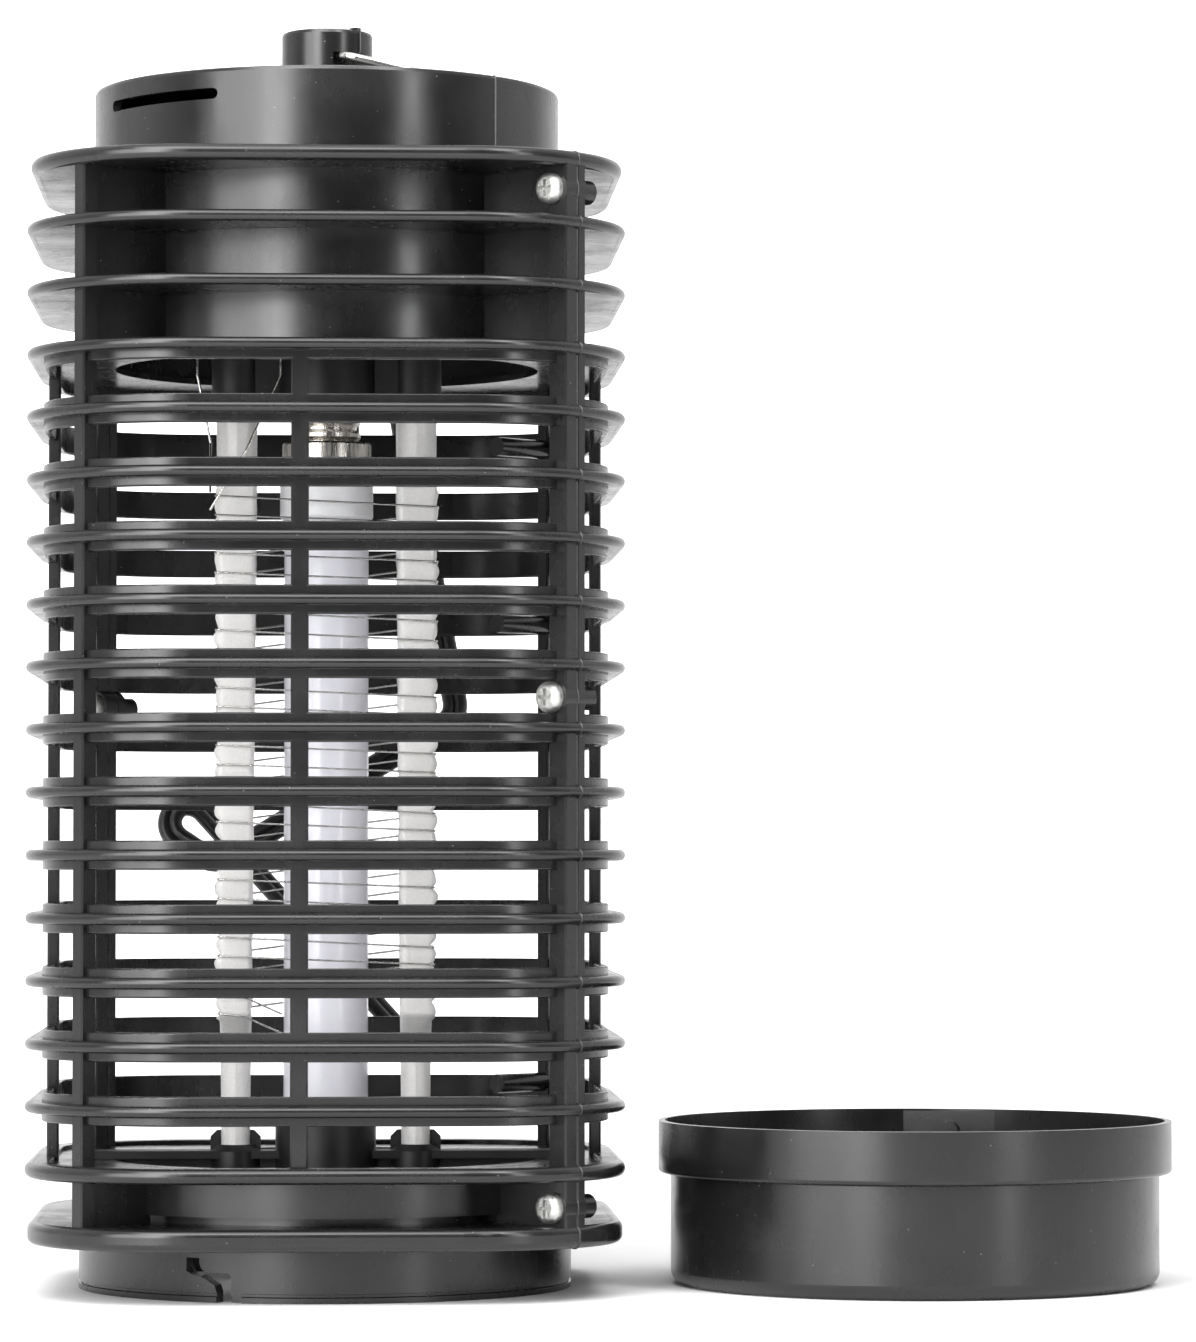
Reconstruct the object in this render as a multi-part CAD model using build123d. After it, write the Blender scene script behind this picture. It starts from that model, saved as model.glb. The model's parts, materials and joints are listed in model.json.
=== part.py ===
from build123d import *
import math
import os

# Plug-in electric bug zapper, millimetres, +Z up.
# The origin is the centre of the base ring's lower edge, on the surface that the zapper stands on.
# -Y is the front. The cage is two mouldings split by the vertical diagonal plane x + y = 0.
# The collection tray stands beside the zapper, at +X, as it does after it has been taken off to be emptied.

# Cage outline and louvres
HALF_WIDTH = 60.0
CORNER_CENTRE = 27.0
LOUVRE_PITCH = 12.5
FIRST_LOUVRE_Z = 12.9
TOP_LOUVRE = 17
UPPER_OPEN_LOUVRE = 14
LOWER_OPEN_LOUVRE = 1
FLANGE_THICKNESS = 1.2
BEAD_RADIUS = 1.15
EDGE_THICKNESS = 2.2
BAND_INSET = 3.4
BAND_THICKNESS = 1.6
BAND_HEIGHT = 5.8
TOP_HALF_WIDTH = 59.3
TOP_BEAD_RADIUS = 1.6
TOP_EDGE_THICKNESS = 3.1
BOTTOM_HALF_WIDTH = 59.4
BOTTOM_RIM_HEIGHT = 4.4
BOTTOM_RIM_WIDTH = 3.4
BOTTOM_EDGE_THICKNESS = 4.2
OPENING_RADIUS = 43.4
SPLIT_GAP = 0.16
EDGE_ROUND = 0.35

# Drum, cap and hanging knob
DRUM_RADIUS = 46.5
CAP_RADIUS = 47.6
CAP_TOP = 244.1
SHELL_WALL = 1.8
KNOB_RADIUS = 9.35
KNOB_TOP = 256.95
TUNNEL_X = (1.2, 9.8)
TUNNEL_Z = (247.0, 252.1)
NOTCH_DEPTH = 4.0
KNOB_NUB_HEIGHT = 0.45
KNOB_FLASH = 0.25
CARRIER_SEAT_Z = 196.0
CARRIER_THICKNESS = 2.0
VENT_START = 28.5
VENT_SWEEP = 35.5
VENT_Z = 239.0
VENT_HEIGHT = 2.2

# Lower drum and base ring
LOWER_DRUM_RADIUS = 51.0
LOWER_DRUM_BOTTOM = 16.7
LOWER_DRUM_WALL = 1.6
COLLAR_RADIUS = 46.9
COLLAR_HOLE = 47.3
BASE_RADIUS = 50.25
BASE_HEIGHT = 10.2
BASE_WALL = 3.0
BASE_GROOVE_Z = (1.1, 1.9)
TRACK_DEPTH = 1.8
TRACK_ANGLE = 26.0

# Posts, seam flanges and screws; distances along the diagonal are from the axis
POST_WIDTH = 3.0
POST_INNER = 65.0
POST_OUTER = 69.0
MID_POST_OFFSET = 5.2
MID_POST_WIDTH = 3.5
MID_POST_THICKNESS = 2.4
SEAM_INNER = 65.3
SEAM_OUTER = 70.0
FRONT_SEAM_THICKNESS = 3.5
REAR_SEAM_THICKNESS = 2.4
WEB_THICKNESS = 2.0
SCREW_OFFSET = 66.3
SCREW_HEIGHTS = (219.5, 119.0, 18.6)
SCREW_HEAD_RADIUS = 3.05
SCREW_SHANK_RADIUS = 1.4
SCREW_LENGTH = 8.5
SCREW_PLAY = 0.05
BOSS_RADIUS = 2.4
BOSS_REACH = 7.0
PAD_RADIUS = 3.9
GATE_STUB_HEIGHTS = (174.6, 137.0, 39.6)
GATE_STUB_RADIUS = 2.0
GATE_STUB_LENGTH = 14.0

# Grid
GRID_POST_X = 18.4
POST_TOP_RADIUS = 4.3
POST_BOTTOM_RADIUS = 2.9
POST_TOP_Z = 188.4
POST_BOTTOM_Z = 24.5
WINDING_TOP = 161.0
WINDING_BOTTOM = 55.0
WINDING_DEPTH = 10.5
WIRE_RADIUS = 0.225
TURN_PITCH = 7.8
FRONT_DROP = 1.95
SOCKET_RADIUS = 5.15

# Lamp, with an E14 screw cap
TUBE_RADIUS = 8.65
TUBE_BOTTOM = 28.0
GLASS_WALL = 1.0
SLEEVE_RADIUS = 9.55
SLEEVE_Z = (156.7, 168.0)
SKIRT_RADIUS = 9.15
SKIRT_TOP = 172.5
THREAD_MAJOR = 6.95
THREAD_MINOR = 6.15
THREAD_PITCH = 2.82
THREAD_TOP = 190.5
HOLDER_RADIUS = 10.35
HOLDER_Z = (179.0, 200.0)
HOLDER_BORE = 7.75
SHELL_BORE = 7.03
LAMP_TIP_Z = 194.4

# Collection tray
TRAY_X = 121.0
TRAY_HEIGHT = 33.5
TRAY_RADIUS = 50.15
TRAY_COLLAR_RADIUS = 52.7
TRAY_COLLAR_HEIGHT = 10.5
TRAY_COLLAR_BORE = 51.3
TRAY_WALL = 1.8
TRAY_FLOOR = 2.0
TRAY_KNOB_RADIUS = 2.1
TRAY_KNOB_DEPTH = 4.6
TRAY_KNOB_REACH = 48.5
TRAY_KNOB_ANGLE = 75.7
TRAY_PAD_FACE = 50.35

# Circuit board in the drum
BOARD_Z = 206.0
BOARD_THICKNESS = 1.6
BOARD_SIZE = (62.0, 44.0)
BOARD_SCREW_X = 26.0

# Hanging ring
RING_WIRE_RADIUS = 0.9
RING_AXIS_X = 3.0
RING_AXIS_Z = 251.15
RING_REACH = 27.0
RING_HALF_SPAN = 11.5
RING_CORNER = 2.7
RING_SLOPE = 13.0

# Mains lead and plug
CORD_CORE_RADIUS = 1.5
CORD_CORE_OFFSET = 1.2
CORD_Z = 206.65
CORD_BEND = 5.0
GROMMET_X = 12.0
GROMMET_NECK = 4.0
GROMMET_FLANGE = 5.05
PLUG_FRONT_X = -20.0
PLUG_REAR_X = 15.0
PLUG_CENTRE_Y = 92.0
PLUG_AXIS_Z = 6.9
PLUG_WIDTH = 35.3
PIN_RADIUS = 2.0
PIN_LENGTH = 19.0
PIN_ROOT_RADIUS = 1.5
PIN_ROOT_LENGTH = 6.0
PIN_NECK = 0.2
PIN_SPACING = 19.0

DIAGONAL = Rot(0, 0, -45)
PAIRED_HALF = Rot(0, 0, 180)


def louvre_z(index):
    return FIRST_LOUVRE_Z + LOUVRE_PITCH * index


def block(x_range, y_range, z_range):
    """A box given by its limits on the three axes."""
    size = [limits[1] - limits[0] for limits in (x_range, y_range, z_range)]
    centre = [sum(limits) / 2 for limits in (x_range, y_range, z_range)]
    return Pos(*centre) * Box(*size)


def upright(x_range, y_range, z_range):
    """A box with its upright edges chamfered."""
    body = block(x_range, y_range, z_range)
    return chamfer(body.edges().filter_by(Axis.Z), EDGE_ROUND)


def tube(outer, inner, bottom, top):
    """A plain ring about the Z axis."""
    ring = Circle(outer)
    if inner > 0:
        ring -= Circle(inner)
    return Pos(0, 0, bottom) * extrude(ring, top - bottom)


def rod_between(start, end, radius):
    """A round bar from one point to another."""
    axis = Vector(*end) - Vector(*start)
    plane = Plane(origin=start, z_dir=axis)
    return extrude(plane * Circle(radius), axis.length)


def turned(points, arc=360.0):
    """A solid turned about Z from points given as (radius, height)."""
    outline = make_face(Polyline([(radius, 0, height) for radius, height in points], close=True))
    return revolve(outline, Axis.Z, arc)


def cross_rod(offset, height, start, end, radius):
    """A round bar square to the split plane, at a distance along the diagonal."""
    return DIAGONAL * rod_between((offset, start, height), (offset, end, height), radius)


def half_path(half_width):
    """Outline of the front half, from the front right corner round to the rear left corner."""
    radius = half_width - CORNER_CENTRE
    c = CORNER_CENTRE
    return Wire([
        CenterArc((c, -c), radius, -45, -45),
        Line((c, -half_width), (-c, -half_width)),
        CenterArc((-c, -c), radius, -90, -90),
        Line((-half_width, -c), (-half_width, c)),
        CenterArc((-c, c), radius, 180, -45),
    ])


def swept_half(section, half_width, height):
    """Sweeps a section round the front half. Its x is measured outwards from the outline, its y upwards."""
    reach = CORNER_CENTRE * math.sqrt(2) + half_width - CORNER_CENTRE
    diagonal = Vector(math.sqrt(0.5), -math.sqrt(0.5), 0)
    start = Plane(origin=diagonal * reach, x_dir=diagonal, z_dir=(-1, -1, 0))
    return Pos(0, 0, height) * sweep(start * section, path=half_path(half_width))


def plate_half(half_width, bore, height, thickness=FLANGE_THICKNESS):
    """A flat rounded-square plate of the front half with a round opening."""
    radius = half_width - CORNER_CENTRE
    outline = RectangleRounded(2 * half_width, 2 * half_width, radius) - Circle(bore)
    front_side = Rot(0, 0, -45) * Pos(0, -100) * Rectangle(400, 200)
    return Pos(0, 0, height - thickness / 2) * extrude(outline & front_side, thickness)


def louvre_section(bead_radius, edge_thickness, band_z):
    """Rounded outer bead, flush flange and upright band, which spans the heights given."""
    flange_end = BAND_INSET + BAND_THICKNESS / 2
    flange_length = flange_end - bead_radius
    flange = Pos(-bead_radius - flange_length / 2, 0) * Rectangle(flange_length, edge_thickness)
    bottom, top = band_z
    band = RectangleRounded(BAND_THICKNESS, top - bottom, EDGE_ROUND)
    return bead_section(bead_radius) + flange + Pos(-flange_end, (bottom + top) / 2) * band


def bead_section(radius):
    return Pos(-radius, 0) * Circle(radius)


def louvres():
    """All eighteen louvres of the front half."""
    reach, flush = BAND_HEIGHT / 2, EDGE_THICKNESS / 2
    open_louvre = swept_half(louvre_section(BEAD_RADIUS, EDGE_THICKNESS, (-reach, reach)), HALF_WIDTH, 0)
    pieces = [Pos(0, 0, louvre_z(i)) * open_louvre for i in range(LOWER_OPEN_LOUVRE + 1, UPPER_OPEN_LOUVRE)]
    upper = louvre_section(BEAD_RADIUS, EDGE_THICKNESS, (-reach, flush))
    pieces.append(swept_half(upper, HALF_WIDTH, louvre_z(UPPER_OPEN_LOUVRE)))
    flush = TOP_EDGE_THICKNESS / 2
    lower = louvre_section(TOP_BEAD_RADIUS, TOP_EDGE_THICKNESS, (-flush, flush))
    pieces.append(swept_half(lower, HALF_WIDTH, louvre_z(LOWER_OPEN_LOUVRE)))
    band_middle = HALF_WIDTH - BAND_INSET - BAND_THICKNESS / 2
    for index in (LOWER_OPEN_LOUVRE, UPPER_OPEN_LOUVRE):
        pieces.append(plate_half(band_middle, OPENING_RADIUS, louvre_z(index)))
    for index in range(UPPER_OPEN_LOUVRE + 1, TOP_LOUVRE):
        pieces.append(plate_half(HALF_WIDTH - BEAD_RADIUS, DRUM_RADIUS - 1, louvre_z(index), EDGE_THICKNESS))
        pieces.append(swept_half(bead_section(BEAD_RADIUS), HALF_WIDTH, louvre_z(index)))
    top_z = louvre_z(TOP_LOUVRE)
    pieces.append(plate_half(TOP_HALF_WIDTH - TOP_BEAD_RADIUS, DRUM_RADIUS - 1, top_z, TOP_EDGE_THICKNESS))
    pieces.append(swept_half(bead_section(TOP_BEAD_RADIUS), TOP_HALF_WIDTH, top_z))
    rim = Pos(-BOTTOM_RIM_WIDTH / 2, 0) * RectangleRounded(BOTTOM_RIM_WIDTH, BOTTOM_RIM_HEIGHT, 1.5)
    pieces.append(plate_half(BOTTOM_HALF_WIDTH - 2, COLLAR_HOLE, FIRST_LOUVRE_Z, BOTTOM_EDGE_THICKNESS))
    pieces.append(swept_half(rim, BOTTOM_HALF_WIDTH, FIRST_LOUVRE_Z))
    return pieces


def half_turn(points):
    """A shape turned through the front half only."""
    return Rot(0, 0, 135) * turned(points, 180)


def drums():
    """Drum, cap and knob of the front half, and the lower drum under the cage."""
    drum_bottom = louvre_z(UPPER_OPEN_LOUVRE) - FLANGE_THICKNESS / 2
    top_plate = louvre_z(TOP_LOUVRE)
    edge = 0.8
    upper = half_turn([
        (DRUM_RADIUS - SHELL_WALL, drum_bottom),
        (DRUM_RADIUS, drum_bottom),
        (DRUM_RADIUS, top_plate),
        (CAP_RADIUS, top_plate),
        (CAP_RADIUS, CAP_TOP - edge),
        (CAP_RADIUS - edge * 0.3, CAP_TOP - edge * 0.3),
        (CAP_RADIUS - edge, CAP_TOP),
        (KNOB_RADIUS, CAP_TOP),
        (KNOB_RADIUS, KNOB_TOP - edge),
        (KNOB_RADIUS - edge * 0.3, KNOB_TOP - edge * 0.3),
        (KNOB_RADIUS - edge, KNOB_TOP),
        (0, KNOB_TOP),
        (0, CAP_TOP - SHELL_WALL),
        (CAP_RADIUS - SHELL_WALL, CAP_TOP - SHELL_WALL),
        (CAP_RADIUS - SHELL_WALL, top_plate - 1),
        (DRUM_RADIUS - SHELL_WALL, top_plate - 1),
    ])
    lower_top = louvre_z(LOWER_OPEN_LOUVRE)
    lower_bore = LOWER_DRUM_RADIUS - LOWER_DRUM_WALL
    lower = half_turn([
        (COLLAR_HOLE, LOWER_DRUM_BOTTOM),
        (LOWER_DRUM_RADIUS, LOWER_DRUM_BOTTOM),
        (LOWER_DRUM_RADIUS, lower_top),
        (lower_bore, lower_top),
        (lower_bore, LOWER_DRUM_BOTTOM + FLANGE_THICKNESS),
        (COLLAR_HOLE, LOWER_DRUM_BOTTOM + FLANGE_THICKNESS),
    ])
    ledge = half_turn([
        (OPENING_RADIUS, CARRIER_SEAT_Z - 1.2),
        (DRUM_RADIUS - 1, CARRIER_SEAT_Z - 1.2),
        (DRUM_RADIUS - 1, CARRIER_SEAT_Z - 0.02),
        (OPENING_RADIUS, CARRIER_SEAT_Z - 0.02),
    ])
    return [upper, lower, ledge]


def corner_post():
    """Post on the unsplit corner of a half, with its webs to the drums."""
    to_corner = Rot(0, 0, -135)
    bottom, top = FIRST_LOUVRE_Z, louvre_z(TOP_LOUVRE)
    width = (-POST_WIDTH / 2, POST_WIDTH / 2)
    web = (-WEB_THICKNESS / 2, WEB_THICKNESS / 2)
    post = upright((POST_INNER, POST_OUTER), width, (bottom, top))
    upper_web = block((DRUM_RADIUS - 1, POST_INNER + 1), web, (louvre_z(UPPER_OPEN_LOUVRE), top))
    lower_web = block((LOWER_DRUM_RADIUS - 1, POST_INNER + 1), web, (bottom, louvre_z(LOWER_OPEN_LOUVRE)))
    return [to_corner * piece for piece in (post, upper_web, lower_web)]


def mid_posts():
    """Two slim posts between the corners, in line with the bands."""
    outer = HALF_WIDTH - BAND_INSET
    across = (-outer, -outer + MID_POST_THICKNESS)
    along = (-MID_POST_OFFSET - MID_POST_WIDTH / 2, -MID_POST_OFFSET + MID_POST_WIDTH / 2)
    height = (louvre_z(LOWER_OPEN_LOUVRE), louvre_z(UPPER_OPEN_LOUVRE))
    return [upright(along, across, height), upright(across, along, height)]


def seam_flanges(thickness, side):
    """Flanges and webs along both split corners. Side is -1 for the front half and 1 for the rear half."""
    bottom, top = FIRST_LOUVRE_Z, louvre_z(TOP_LOUVRE)
    flange = sorted((0, side * thickness))
    web = sorted((0, side * WEB_THICKNESS))
    pieces = []
    for corner in (0, 180):
        depth = flange if corner == 0 else sorted(-value for value in flange)
        web_depth = web if corner == 0 else sorted(-value for value in web)
        place = Rot(0, 0, corner - 45)
        pieces.append(place * upright((SEAM_INNER, SEAM_OUTER), depth, (bottom, top)))
        pieces.append(place * block((DRUM_RADIUS - 1, SEAM_INNER + 1), web_depth,
                                    (louvre_z(UPPER_OPEN_LOUVRE), top)))
        pieces.append(place * block((LOWER_DRUM_RADIUS - 1, SEAM_INNER + 1), web_depth,
                                    (bottom, louvre_z(LOWER_OPEN_LOUVRE))))
    return pieces


def knob_nub():
    """Small lump that the gate leaves on top of the knob, with a line of flash below it along the seam."""
    lump_z = (KNOB_TOP - 1, KNOB_TOP + KNOB_NUB_HEIGHT)
    flash_z = (TUNNEL_Z[1] + 0.3, KNOB_TOP - 0.3)
    lump = block((KNOB_RADIUS - 2.2, KNOB_RADIUS - 0.4), (-0.8, 0.8), lump_z)
    flash = block((KNOB_RADIUS - 1, KNOB_RADIUS + KNOB_FLASH), (-0.35, 0.35), flash_z)
    return DIAGONAL * (lump + flash)


def screw_places():
    """Distance along the diagonal and height of each case screw."""
    return [(side * SCREW_OFFSET, height) for side in (1, -1) for height in SCREW_HEIGHTS]


def vent_slot():
    """Curved slot through the cap, with round ends, to the left of the front."""
    start = -90 - VENT_START
    outer, inner = CAP_RADIUS + 1, CAP_RADIUS - SHELL_WALL - 1
    half = VENT_HEIGHT / 2
    slot = Rot(0, 0, start - VENT_SWEEP) * turned([
        (inner, VENT_Z - half), (outer, VENT_Z - half), (outer, VENT_Z + half), (inner, VENT_Z + half),
    ], VENT_SWEEP)
    ends = [Rot(0, 0, angle) * rod_between((inner, 0, VENT_Z), (outer, 0, VENT_Z), half)
            for angle in (start, start - VENT_SWEEP)]
    return [slot] + ends


def knob_tunnel():
    """Passage through the knob for the hanging ring: a round bore between two notches."""
    middle = KNOB_RADIUS - NOTCH_DEPTH
    cuts = [block(TUNNEL_X, sorted((side * middle, side * (KNOB_RADIUS + 1))), TUNNEL_Z) for side in (-1, 1)]
    ends = [(RING_AXIS_X, side * (middle + 1), RING_AXIS_Z) for side in (-1, 1)]
    cuts.append(rod_between(*ends, RING_WIRE_RADIUS + 0.1))
    return cuts


def split_slab():
    """Thin slab that leaves the running gap between the two halves."""
    return DIAGONAL * block((-100, 100), (-SPLIT_GAP / 2, SPLIT_GAP / 2), (-10, 300))


def half_space(side):
    """Everything on one side of the split plane: -1 for the front half and 1 for the rear half."""
    return DIAGONAL * block((-100, 100), sorted((0, side * 100)), (-10, 300))


def common_half():
    """Everything that the two mouldings share, in the place of the front half."""
    return louvres() + drums() + corner_post() + mid_posts()


def front_half(shared):
    pieces = shared + seam_flanges(FRONT_SEAM_THICKNESS, -1)
    pieces.append(knob_nub() & half_space(-1))
    for offset, height in screw_places():
        pieces.append(cross_rod(offset, height, -FRONT_SEAM_THICKNESS, 0, PAD_RADIUS))
    body = pieces[0] + pieces[1:]
    cuts = vent_slot() + knob_tunnel() + [split_slab()]
    for offset, height in screw_places():
        cuts.append(cross_rod(offset, height, -FRONT_SEAM_THICKNESS - 1, 1, SCREW_SHANK_RADIUS + SCREW_PLAY))
    return body - cuts


def rear_half(shared):
    pieces = [PAIRED_HALF * piece for piece in shared] + seam_flanges(REAR_SEAM_THICKNESS, 1)
    pieces.append(knob_nub() & half_space(1))
    to_corner = Rot(0, 0, 45)
    for height in GATE_STUB_HEIGHTS:
        stub = rod_between((POST_INNER - GATE_STUB_LENGTH, 0, height), (POST_INNER + 1, 0, height),
                           GATE_STUB_RADIUS)
        pieces.append(to_corner * stub)
    for offset, height in screw_places():
        pieces.append(cross_rod(offset, height, 0, REAR_SEAM_THICKNESS, PAD_RADIUS))
        pieces.append(cross_rod(offset, height, 0, BOSS_REACH, BOSS_RADIUS))
    body = pieces[0] + pieces[1:]
    cuts = [PAIRED_HALF * piece for piece in vent_slot()] + knob_tunnel() + [split_slab()]
    for offset, height in screw_places():
        cuts.append(cross_rod(offset, height, -1, BOSS_REACH - 1, SCREW_SHANK_RADIUS + SCREW_PLAY))
    cuts.append(rod_between((GROMMET_X, 30, CORD_Z), (GROMMET_X, 60, CORD_Z), GROMMET_NECK))
    return body - cuts


def pan_screw(head_radius, head_height, shank_radius, length):
    """Pan-head screw with a cross recess. The head's underside is at z = 0 and the shank points down."""
    head = extrude(Circle(head_radius), head_height)
    head = fillet(head.edges().sort_by(Axis.Z)[-1], head_height * 0.6)
    recess = [Rot(0, 0, turn) * block((-head_radius * 0.55, head_radius * 0.55), (-0.35, 0.35),
                                      (head_height * 0.45, head_height + 1)) for turn in (0, 90)]
    shank = Pos(0, 0, -length) * extrude(Circle(shank_radius), length + 0.1)
    return head - recess + shank


def case_screws():
    """Three screws down each split corner, with their heads on the front half's flange."""
    screw = pan_screw(SCREW_HEAD_RADIUS, 2.2, SCREW_SHANK_RADIUS, SCREW_LENGTH)
    diagonal = Vector(math.sqrt(0.5), -math.sqrt(0.5), 0)
    across = Vector(math.sqrt(0.5), math.sqrt(0.5), 0)
    screws = []
    for offset, height in screw_places():
        seat = diagonal * offset - across * (FRONT_SEAM_THICKNESS + 0.02) + Vector(0, 0, height)
        screws.append(Plane(origin=seat, x_dir=(0, 0, 1), z_dir=-across).location * screw)
    return Compound(children=screws)


def radial_prism(points, angle, inner, outer):
    """A prism along a radius, from points given as (distance to the left of the radius, height)."""
    direction = Vector(math.cos(math.radians(angle)), math.sin(math.radians(angle)), 0)
    left = Vector(direction.Y, -direction.X, 0)
    plane = Plane(origin=direction * inner, x_dir=left, z_dir=direction)
    flip = 1 if plane.y_dir.Z > 0 else -1
    outline = make_face(Polyline([(across, flip * height) for across, height in points], close=True))
    return extrude(plane * outline, outer - inner)


def bayonet_track():
    """Stepped groove for a tray knob, and the slit through the wall along the groove's lower left edge."""
    groove = [(-6.0, -1), (-6.0, 8.7), (6.1, 8.7), (6.1, 6.0), (3.0, 5.2), (-0.7, 3.4), (-0.7, -1)]
    slit = [(-3.1, -1), (-3.1, 4.9), (-2.5, 5.6), (-1.7, 5.85), (2.3, 5.6), (3.7, 6.5), (4.1, 7.5),
            (4.1, 8.65), (6.1, 8.65), (6.1, 7.0), (5.2, 5.6), (3.9, 5.15), (3.1, 5.3), (0.7, 4.0),
            (-0.3, 3.4), (-0.7, 2.2), (-0.7, -1)]
    angle = -90 - TRACK_ANGLE
    shallow = radial_prism(groove, angle, BASE_RADIUS - 8, BASE_RADIUS + 3)
    shallow &= tube(BASE_RADIUS + 5, BASE_RADIUS - TRACK_DEPTH, -2, 20)
    return [shallow, radial_prism(slit, angle, BASE_RADIUS - 8, BASE_RADIUS + 3)]


def base_ring():
    """Fixed ring that the tray locks onto. Its collar is held between the two mouldings."""
    bore = BASE_RADIUS - BASE_WALL
    collar_bore = COLLAR_RADIUS - SHELL_WALL
    lip_bottom = LOWER_DRUM_BOTTOM + FLANGE_THICKNESS + 0.2
    ring = turned([
        (bore, 0),
        (BASE_RADIUS, 0),
        (BASE_RADIUS, BASE_GROOVE_Z[0]),
        (BASE_RADIUS - 0.4, BASE_GROOVE_Z[0] + 0.2),
        (BASE_RADIUS - 0.4, BASE_GROOVE_Z[1] - 0.1),
        (BASE_RADIUS, BASE_GROOVE_Z[1]),
        (BASE_RADIUS, BASE_HEIGHT),
        (COLLAR_RADIUS, BASE_HEIGHT),
        (COLLAR_RADIUS, lip_bottom),
        (COLLAR_RADIUS + 2, lip_bottom),
        (COLLAR_RADIUS + 2, lip_bottom + 1.3),
        (collar_bore, lip_bottom + 1.3),
        (collar_bore, BASE_HEIGHT - 1.4),
        (bore, BASE_HEIGHT - 1.4),
    ])
    return ring - [Rot(0, 0, turn) * cut for turn in (0, 180) for cut in bayonet_track()]


def hanger_ring():
    """Bent wire bail. Its straight leg lies in the knob's tunnel and the rest is folded down to the right."""
    corner = RING_CORNER
    reach, span = RING_REACH, RING_HALF_SPAN
    path = Wire([
        Line((0, -2), (0, span - corner)),
        CenterArc((corner, span - corner), corner, 180, -90),
        Line((corner, span), (reach - span, span)),
        CenterArc((reach - span, 0), span, 90, -180),
        Line((reach - span, -span), (corner, -span)),
        CenterArc((corner, -span + corner), corner, 270, -90),
        Line((0, -span + corner), (0, -2.6)),
    ])
    wire = sweep(Plane(origin=(0, -2, 0), z_dir=(0, 1, 0)) * Circle(RING_WIRE_RADIUS), path=path)
    return Pos(RING_AXIS_X, 0, RING_AXIS_Z) * Rot(0, RING_SLOPE, 0) * wire


def upper_carrier():
    """Disc inside the drum. It hangs the lamp holder and the two upper sockets of the grid posts."""
    seat = CARRIER_SEAT_Z
    top = seat + CARRIER_THICKNESS
    disc = tube(DRUM_RADIUS - SHELL_WALL - 0.2, 0, seat, top)
    bar = block((-GRID_POST_X, GRID_POST_X), (-3.5, 3.5), (HOLDER_Z[0], seat + 0.1))
    socket = tube(SOCKET_RADIUS, 0, HOLDER_Z[0], seat + 0.1)
    sockets = [Pos(x, 0, 0) * socket for x in (-GRID_POST_X, GRID_POST_X)]
    standoffs = [Pos(x, 0, 0) * tube(3.0, 0, top - 0.1, BOARD_Z) for x in (-BOARD_SCREW_X, BOARD_SCREW_X)]
    holes = [Pos(x, 0, 0) * tube(POST_TOP_RADIUS + 0.05, 0, HOLDER_Z[0] - 1, POST_TOP_Z + 0.1)
             for x in (-GRID_POST_X, GRID_POST_X)]
    holes += [Pos(x, 0, 0) * tube(1.3, 0, BOARD_Z - 9, BOARD_Z + 1) for x in (-BOARD_SCREW_X, BOARD_SCREW_X)]
    holes.append(tube(HOLDER_RADIUS + 0.05, 0, HOLDER_Z[0] - 1, top + 1))
    holes.append(Pos(-GRID_POST_X - 8, -6, 0) * tube(1.2, 0, seat - 1, top + 1))
    holes.append(Pos(-GRID_POST_X + 9, -9, 0) * tube(1.2, 0, seat - 1, top + 1))
    return disc + bar + sockets + standoffs - holes


def lower_socket(bore):
    """Split collar round the foot of a grid post, lower at the front than at the back."""
    bottom = louvre_z(LOWER_OPEN_LOUVRE) - 3.0
    collar = []
    for top, depth in ((28.8, (-20, 0)), (31.7, (0, 20))):
        ring = turned([
            (bore, POST_BOTTOM_Z - 0.1),
            (0, POST_BOTTOM_Z - 0.1),
            (0, bottom),
            (SOCKET_RADIUS, bottom),
            (SOCKET_RADIUS, top - 1.3),
            (SOCKET_RADIUS - 1.3, top),
            (bore, top),
        ])
        collar.append(ring & block((-20, 20), depth, (0, 60)))
    return collar[0] + collar[1]


def lower_carrier():
    """Bridge across the lower opening, with the feet of the grid posts and the guide of the lamp."""
    seat = louvre_z(LOWER_OPEN_LOUVRE) + FLANGE_THICKNESS / 2 + 0.02
    bar = block((-48, 48), (-4, 4), (seat, seat + 1.6))
    rib = block((-42, 42), (-1.2, 1.2), (seat - 3.4, seat + 0.1))
    guide_bore = TUBE_RADIUS + 0.35
    guide = tube(guide_bore + 1.3, 0, seat - 3.4, 34.0)
    body = bar + [rib, guide]
    body -= [Pos(x, 0, 0) * tube(SOCKET_RADIUS - 0.5, 0, 0, 60) for x in (-GRID_POST_X, GRID_POST_X)]
    body += [Pos(x, 0, 0) * lower_socket(post_radius(32.0) + 0.05) for x in (-GRID_POST_X, GRID_POST_X)]
    return body - tube(guide_bore, 0, TUBE_BOTTOM - 1.5, 60)


def post_radius(height):
    """Half width of a grid post, which tapers downwards."""
    share = (height - POST_BOTTOM_Z) / (POST_TOP_Z - POST_BOTTOM_Z)
    return POST_BOTTOM_RADIUS + (POST_TOP_RADIUS - POST_BOTTOM_RADIUS) * share


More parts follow.
